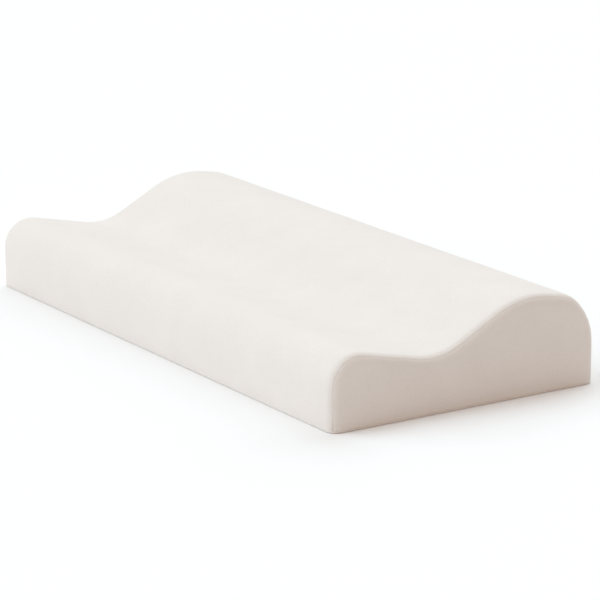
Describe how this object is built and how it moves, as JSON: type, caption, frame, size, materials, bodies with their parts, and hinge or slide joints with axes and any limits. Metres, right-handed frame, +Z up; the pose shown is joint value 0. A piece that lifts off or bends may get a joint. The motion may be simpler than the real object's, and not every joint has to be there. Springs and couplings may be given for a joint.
{
  "type": "contour neck cushion",
  "caption": "Contour foam cushion for the neck and head: a low lobe, a shallow valley and a high lobe in a close-fitting zipped cover.",
  "frame": {"origin": "middle of the flat base", "axes": "+X along the cushion's length, +Y from the low lobe to the high lobe, +Z up from the base"},
  "size_m": [0.6, 0.2902, 0.0917],
  "materials": {
    "foam": "open-cell viscoelastic foam with a moulded skin, matt",
    "liner_jersey": "thin white knitted jersey",
    "cover_knit": "soft off-white velour knit with a short nap, matt",
    "thread": "spun polyester sewing thread",
    "zip_tape": "woven polyester zip tape",
    "zip_nylon": "off-white nylon coil",
    "label_satin": "blank white satin ribbon",
    "zip_metal": "die-cast zinc with off-white enamel"
  },
  "bodies": {
    "cushion": {"foam_core": "foam", "liner_sleeve": "liner_jersey", "liner_end_left": "liner_jersey", "liner_end_right": "liner_jersey", "cover_wrap": "cover_knit", "cover_end_left": "cover_knit", "cover_end_right": "cover_knit", "cover_base": "cover_knit", "cover_zip_strip": "cover_knit", "end_seam_left": "thread", "end_seam_right": "thread", "base_seam": "thread", "zip_tape_upper": "zip_tape", "zip_tape_lower": "zip_tape", "zip_coil_upper": "zip_nylon", "zip_coil_lower": "zip_nylon", "zip_stitching_upper": "thread", "zip_stitching_lower": "thread", "zip_stop_closed": "zip_nylon", "zip_stop_open": "zip_nylon", "care_label": "label_satin"},
    "slider": {"zip_slider": "zip_metal"},
    "pull_tab": {"zip_pull_tab": "zip_metal"}
  },
  "joints": [
    {"name": "zip_slide", "type": "slide", "parent": "cushion", "child": "slider", "axis": [1, 0, 0], "range_m": [0, 0.516]},
    {"name": "pull_tab_flip", "type": "hinge", "parent": "slider", "child": "pull_tab", "pos_m": [-0.2585, 0.14555, 0.015], "axis": [0, 0, -1], "range_deg": [0, 180]}
  ]
}
